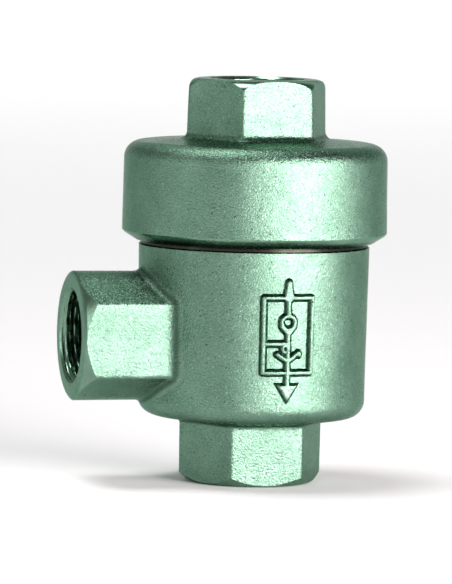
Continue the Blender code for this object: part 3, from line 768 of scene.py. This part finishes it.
# --- CAD pieces that stay -----------------------------------------------------------------------
def dress_inner_pieces():
    """Gives the CAD pieces that stay a finish and softly broken edges."""
    looks = {
        "turned_brass": turned_metal("turned_brass", (0.62, 0.42, 0.16), (0.78, 0.56, 0.25), 0.20, 0.32),
        "stainless_steel": turned_metal("stainless_steel", (0.50, 0.52, 0.54), (0.66, 0.68, 0.70), 0.22, 0.3),
        "nitrile_rubber": nitrile_rubber(),
        "acetal": acetal(),
    }
    for entry in frame["record"]["subparts"]:
        node, look = entry["node"], entry["material_slot"]
        if look not in looks:
            continue
        obj = frame["nodes"][node]
        obj.data.materials.clear()
        obj.data.materials.append(looks[look])
        bevel = obj.modifiers.new("edge", "BEVEL")
        bevel.width = 0.12 * MM
        bevel.segments = 2
        bevel.limit_method = "ANGLE"
        bevel.angle_limit = math.radians(40)


# --- Studio -------------------------------------------------------------------------------------
CAMERA_AZIMUTH = math.radians(-15.4)
CAMERA_ELEVATION = math.radians(4.5)
CAMERA_ROLL = math.radians(1.24)
CAMERA_DISTANCE = 1.10
FRAME_WIDTH = 95.6 * MM  # width of the picture at the valve's axis
AIM_HEIGHT = 44.0 * MM
AIM_RIGHT = -5.8 * MM  # the valve stands a little right of the picture's middle
AIM_UP = -4.1 * MM
SENSOR_WIDTH = 36.0
HORIZON_LIGHT = 0.62
ZENITH_LIGHT = 0.14
FLOOR_DROP = 0.2 * MM  # keeps the floor clear of the exhaust port's face


def round_valve(azimuth, elevation, distance, height=AIM_HEIGHT):
    """A point at that azimuth and elevation as seen from the valve: 0 is in front of it, 90 to its right."""
    return Vector((AXIS_X + distance * math.sin(azimuth) * math.cos(elevation),
                   -distance * math.cos(azimuth) * math.cos(elevation),
                   height + distance * math.sin(elevation)))


def make_camera():
    """A long lens a little above and to the left, slightly rolled, with the valve off its middle."""
    camera = add_object("camera", bpy.data.cameras.new("camera"))
    middle = Vector((AXIS_X, 0, AIM_HEIGHT))
    back = (round_valve(CAMERA_AZIMUTH, CAMERA_ELEVATION, 1.0) - middle).normalized()
    level_right = Vector((math.cos(CAMERA_AZIMUTH), math.sin(CAMERA_AZIMUTH), 0))
    level_up = back.cross(level_right)
    right = level_right * math.cos(CAMERA_ROLL) + level_up * math.sin(CAMERA_ROLL)
    up = back.cross(right)
    place = middle + back * CAMERA_DISTANCE
    aim = middle + right * AIM_RIGHT + up * AIM_UP
    toward = (place - aim).normalized()
    right = (right - toward * right.dot(toward)).normalized()
    turn = Matrix((right, toward.cross(right), toward)).transposed()
    camera.matrix_world = Matrix.Translation(place) @ turn.to_4x4()
    camera.data.sensor_fit = "HORIZONTAL"
    camera.data.sensor_width = SENSOR_WIDTH
    camera.data.lens = SENSOR_WIDTH * CAMERA_DISTANCE / FRAME_WIDTH
    camera.data.clip_start = 0.01
    bpy.context.scene.camera = camera


def make_light(name, azimuth, elevation, distance, size, power, color=(1, 1, 1), straight_down=False):
    light = bpy.data.lights.new(name, "AREA")
    light.shape = "RECTANGLE"
    light.size, light.size_y = size
    light.energy = power
    light.color = color
    lamp = add_object(name, light)
    lamp.location = round_valve(math.radians(azimuth), math.radians(elevation), distance)
    lamp.visible_camera = False
    if not straight_down:
        lamp.rotation_euler = (lamp.location - round_valve(0, 0, 0)).to_track_quat("Z", "Y").to_euler()


def make_floor():
    """A pale round floor whose rim curves up far from the valve."""
    flat_r, bend, steps = 3.2, 1.2, 96
    profile = [(0.8, 0), (flat_r, 0)]
    profile += [(flat_r + r, bend + z) for r, z in arc((0, 0), bend, -86, -10, 20)]
    points = [(r * math.cos(math.tau * i / steps), r * math.sin(math.tau * i / steps), z - FLOOR_DROP)
              for r, z in profile for i in range(steps)]
    faces = [tuple(range(steps))]
    for ring in range(0, (len(profile) - 1) * steps, steps):
        for i in range(steps):
            j = (i + 1) % steps
            faces.append((ring + i, ring + steps + i, ring + steps + j, ring + j))
    data = bpy.data.meshes.new("floor")
    data.from_pydata(points, [], faces)
    data.shade_smooth()
    nodes = Nodes("pale_floor")
    data.materials.append(nodes.finish(Base_Color=(0.93, 0.93, 0.93, 1), Roughness=0.9))
    add_object("floor", data)


def make_world():
    """A studio that is light near the horizon and darker overhead, so that upper faces stay dark."""
    world = bpy.data.worlds.new("studio")
    world.use_nodes = True
    tree = world.node_tree
    direction = tree.nodes.new("ShaderNodeTexCoord")
    split = tree.nodes.new("ShaderNodeSeparateXYZ")
    fade = tree.nodes.new("ShaderNodeMapRange")
    tree.links.new(direction.outputs["Generated"], split.inputs["Vector"])
    tree.links.new(split.outputs["Z"], fade.inputs["Value"])
    fade.inputs["From Max"].default_value = 0.75
    fade.inputs["To Min"].default_value = HORIZON_LIGHT
    fade.inputs["To Max"].default_value = ZENITH_LIGHT
    background = tree.nodes["Background"]
    background.inputs["Color"].default_value = (1, 1, 1, 1)
    tree.links.new(fade.outputs["Result"], background.inputs["Strength"])
    bpy.context.scene.world = world
    bpy.context.scene.view_settings.view_transform = "Standard"


def make_sun(azimuth, elevation, strength, spread):
    """Soft light from far off, so that the floor is as bright far away as it is near the valve."""
    light = bpy.data.lights.new("overhead", "SUN")
    light.energy = strength
    light.angle = math.radians(spread)
    lamp = add_object("overhead", light)
    toward = round_valve(math.radians(azimuth), math.radians(elevation), 1.0) - round_valve(0, 0, 0)
    lamp.rotation_euler = toward.to_track_quat("Z", "Y").to_euler()


def make_studio():
    """Camera, floor, world and lights. The light azimuths are counted from the camera's."""
    make_camera()
    make_floor()
    make_world()
    view = math.degrees(CAMERA_AZIMUTH)
    make_light("key", azimuth=view + 43, elevation=9.5, distance=0.80, size=(0.62, 0.36), power=14.0,
               color=(1.0, 0.89, 0.92))
    make_light("left_fill", azimuth=view - 64, elevation=10, distance=1.0, size=(0.10, 0.8), power=1.2)
    make_light("far_floor", azimuth=view + 180, elevation=32, distance=3.0, size=(3.0, 1.8), power=16,
               straight_down=True)
    make_sun(azimuth=view - 90, elevation=76, strength=1.75, spread=26)


def main():
    skin = forged_nickel()
    machined = turned_nickel()
    make_body(skin, machined)
    make_cap(skin, machined)
    make_thread("inlet_thread", INLET_PORT, machined)
    make_thread("outlet_thread", OUTLET_PORT, machined)
    make_thread("exhaust_thread", EXHAUST_PORT, machined)
    make_diagram(skin)
    dress_inner_pieces()
    make_studio()


main()
